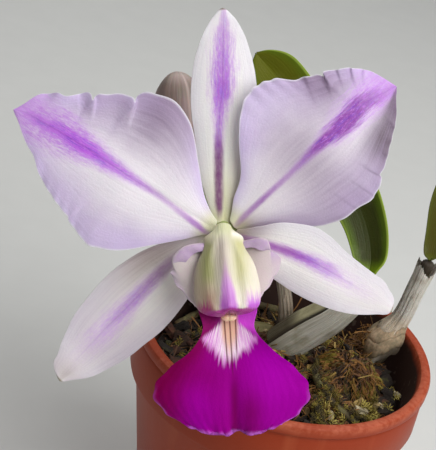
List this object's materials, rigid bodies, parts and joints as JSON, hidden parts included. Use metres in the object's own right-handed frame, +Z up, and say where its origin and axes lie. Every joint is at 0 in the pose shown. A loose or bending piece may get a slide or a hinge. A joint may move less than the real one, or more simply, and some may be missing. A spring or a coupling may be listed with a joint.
{
  "type": "potted cattleya orchid",
  "caption": "Cattleya orchid in a tapered round pot: open white and purple bloom with a broad fan lip, an opening bud, thick leaves, sheathed bulbs and roots on bark. Stands on a flat base.",
  "frame": {"origin": "middle of the pot's flat base, on the surface it stands on", "axes": "+Z up along the pot's axis; the open bloom looks towards -Y and up, and +X is to its viewer's right"},
  "size_m": [0.1401, 0.1277, 0.1781],
  "materials": {
    "pot": "terracotta-coloured moulded plastic, satin, a little dust and lime bloom",
    "potting_mix": "dry bark chips and fibre, rough and matte",
    "rhizome": "green-brown, scaly, dull",
    "pseudobulb": "olive grey, ribbed, dull",
    "sheath": "dry papery skin, silver grey to tan, fibrous",
    "leaf": "thick and leathery, olive green, satin, paler yellow-green rim",
    "root": "silver-grey spongy skin, matte",
    "flower_stem": "pale green, smooth, satin",
    "bud": "brownish pink, satin",
    "sepal": "white with a mauve middle stripe, fine sparkling cell texture",
    "petal": "white with a magenta-purple flame, crinkled, fine cell texture",
    "lip": "deep magenta-purple fan with a frilled paler rim, white side lobes, velvety",
    "column": "cream green, waxy, with a purple middle stripe",
    "anther_cap": "cream, waxy"
  },
  "bodies": {
    "root": {"pot": "pot", "potting_mix": "potting_mix", "rhizome": "rhizome", "pseudobulb_front": "pseudobulb", "pseudobulb_right": "pseudobulb", "pseudobulb_middle": "pseudobulb", "pseudobulb_back": "pseudobulb", "sheath_front": "sheath", "sheath_right": "sheath", "sheath_middle": "sheath", "sheath_back": "sheath", "collar_right": "sheath", "leaf_front": "leaf", "leaf_right": "leaf", "leaf_middle": "leaf", "leaf_back": "leaf", "root_front": "root", "root_right": "root", "root_back": "root", "flower_stem": "flower_stem", "opening_bud": "bud", "dorsal_sepal": "sepal", "lateral_sepal_left": "sepal", "lateral_sepal_right": "sepal", "petal_left": "petal", "petal_right": "petal", "lip": "lip", "column": "column", "anther_cap": "anther_cap"}
  },
  "joints": []
}
